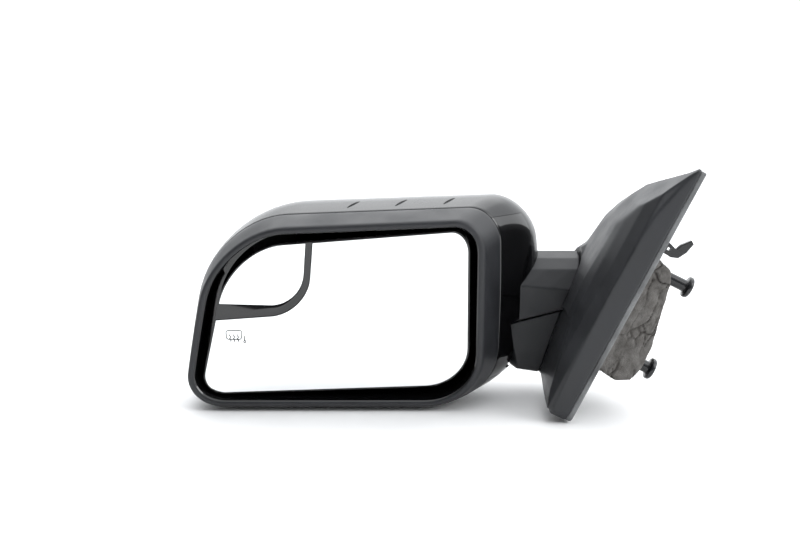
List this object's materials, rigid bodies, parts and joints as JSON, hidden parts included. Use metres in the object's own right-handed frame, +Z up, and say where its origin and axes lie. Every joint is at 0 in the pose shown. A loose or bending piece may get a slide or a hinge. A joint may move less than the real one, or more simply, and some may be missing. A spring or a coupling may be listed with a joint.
{
  "type": "door mirror",
  "caption": "Power door mirror of a truck, left side: triangular sail base with door gasket, foam and studs, folding arm, deep head with heated main glass and blind-spot glass.",
  "frame": {"origin": "on the inboard face of the sail gasket, in the middle of its rear strip at half the height of the sail", "axes": "+X inboard towards the door, +Y forwards in the driving direction, +Z up; the glass faces -Y"},
  "size_m": [0.4323, 0.15, 0.2108],
  "materials": {
    "grained_black": "fine grained, mould textured",
    "satin_black": "smooth satin",
    "gloss_black": "piano gloss",
    "inner_black": "plain moulded",
    "casting": "die cast, blasted",
    "steel": "zinc plated",
    "mirror_glass": "polished, silvered behind",
    "foam": "open cell foam",
    "gasket_rubber": "matte, fine grain",
    "black_rubber": "matte",
    "nylon": "unpainted natural",
    "heater_foil": "amber film",
    "brass": "turned"
  },
  "bodies": {
    "base": {"sail_cover": "grained_black", "arm_lower_cover": "grained_black", "base_casting": "casting", "sail_gasket": "gasket_rubber", "foam_block": "foam", "mounting_stud_upper": "satin_black", "mounting_stud_lower": "satin_black", "mounting_stud_front": "satin_black", "locating_hook": "satin_black", "harness_grommet": "black_rubber", "cover_screw_1": "steel", "cover_screw_2": "steel", "pivot_post": "steel", "detent_ring_lower": "steel", "spring_washer": "steel", "post_retainer": "steel"},
    "head": {"arm_block_cover": "grained_black", "head_bracket": "casting", "bracket_screw_1": "steel", "bracket_screw_2": "steel", "bracket_screw_3": "steel", "detent_ring_upper": "steel", "fold_spring": "steel", "front_cap": "satin_black", "inboard_panel": "gloss_black", "rear_bezel": "grained_black", "head_frame": "inner_black", "bezel_screw_1": "steel", "bezel_screw_2": "steel", "bezel_screw_3": "steel", "bezel_screw_4": "steel", "actuator_cover": "inner_black", "actuator_base": "inner_black", "actuator_screw_1": "steel", "actuator_screw_2": "steel", "actuator_screw_3": "steel", "motor_yaw": "steel", "motor_pitch": "steel"},
    "gimbal": {"gimbal_ring": "nylon"},
    "glass": {"glass_carrier": "inner_black", "main_glass": "mirror_glass", "spotter_glass": "mirror_glass", "heater_pad": "heater_foil", "heater_terminal_1": "brass", "heater_terminal_2": "brass"},
    "yaw_plunger": {"plunger_yaw": "nylon"},
    "pitch_plunger": {"plunger_pitch": "nylon"},
    "yaw_nut": {"nut_gear_yaw": "nylon"},
    "pitch_nut": {"nut_gear_pitch": "nylon"},
    "yaw_worm": {"worm_yaw": "nylon"},
    "pitch_worm": {"worm_pitch": "nylon"}
  },
  "joints": [
    {"name": "head_fold", "type": "hinge", "parent": "base", "child": "head", "pos_m": [-0.0601, 0.088, -0.027], "axis": [-0.247, 0, 0.969], "range_deg": [-45, 45]},
    {"name": "glass_yaw", "type": "hinge", "parent": "head", "child": "gimbal", "pos_m": [-0.2486, 0.05, -0.0217], "axis": [0, 0, 1], "range_deg": [-7.5, 7.5]},
    {"name": "glass_pitch", "type": "hinge", "parent": "gimbal", "child": "glass", "pos_m": [-0.2486, 0.05, -0.0217], "axis": [1, 0, 0], "range_deg": [-7.5, 7.5]},
    {"name": "yaw_plunger_slide", "type": "slide", "parent": "head", "child": "yaw_plunger", "axis": [0, 1, 0], "range_m": [-0.004, 0.004]},
    {"name": "pitch_plunger_slide", "type": "slide", "parent": "head", "child": "pitch_plunger", "axis": [0, 1, 0], "range_m": [-0.004, 0.004]},
    {"name": "yaw_nut_spin", "type": "hinge", "parent": "head", "child": "yaw_nut", "pos_m": [-0.2786, 0.068, -0.0217], "axis": [0, 1, 0], "range_deg": [-180, 180]},
    {"name": "pitch_nut_spin", "type": "hinge", "parent": "head", "child": "pitch_nut", "pos_m": [-0.2486, 0.068, -0.0517], "axis": [0, 1, 0], "range_deg": [-180, 180]},
    {"name": "yaw_worm_spin", "type": "hinge", "parent": "head", "child": "yaw_worm", "pos_m": [-0.2911, 0.068, -0.0217], "axis": [0, 0, 1], "range_deg": [-3240, 3240]},
    {"name": "pitch_worm_spin", "type": "hinge", "parent": "head", "child": "pitch_worm", "pos_m": [-0.2486, 0.068, -0.0642], "axis": [1, 0, 0], "range_deg": [-3240, 3240]}
  ],
  "couplings": [
    {"joint": "yaw_plunger_slide", "follows": "glass_yaw", "m_per_rad": -0.03},
    {"joint": "pitch_plunger_slide", "follows": "glass_pitch", "m_per_rad": 0.03},
    {"joint": "yaw_nut_spin", "follows": "glass_yaw", "ratio": 23.562},
    {"joint": "pitch_nut_spin", "follows": "glass_pitch", "ratio": 23.562},
    {"joint": "yaw_worm_spin", "follows": "glass_yaw", "ratio": 424.12},
    {"joint": "pitch_worm_spin", "follows": "glass_pitch", "ratio": 424.12}
  ]
}
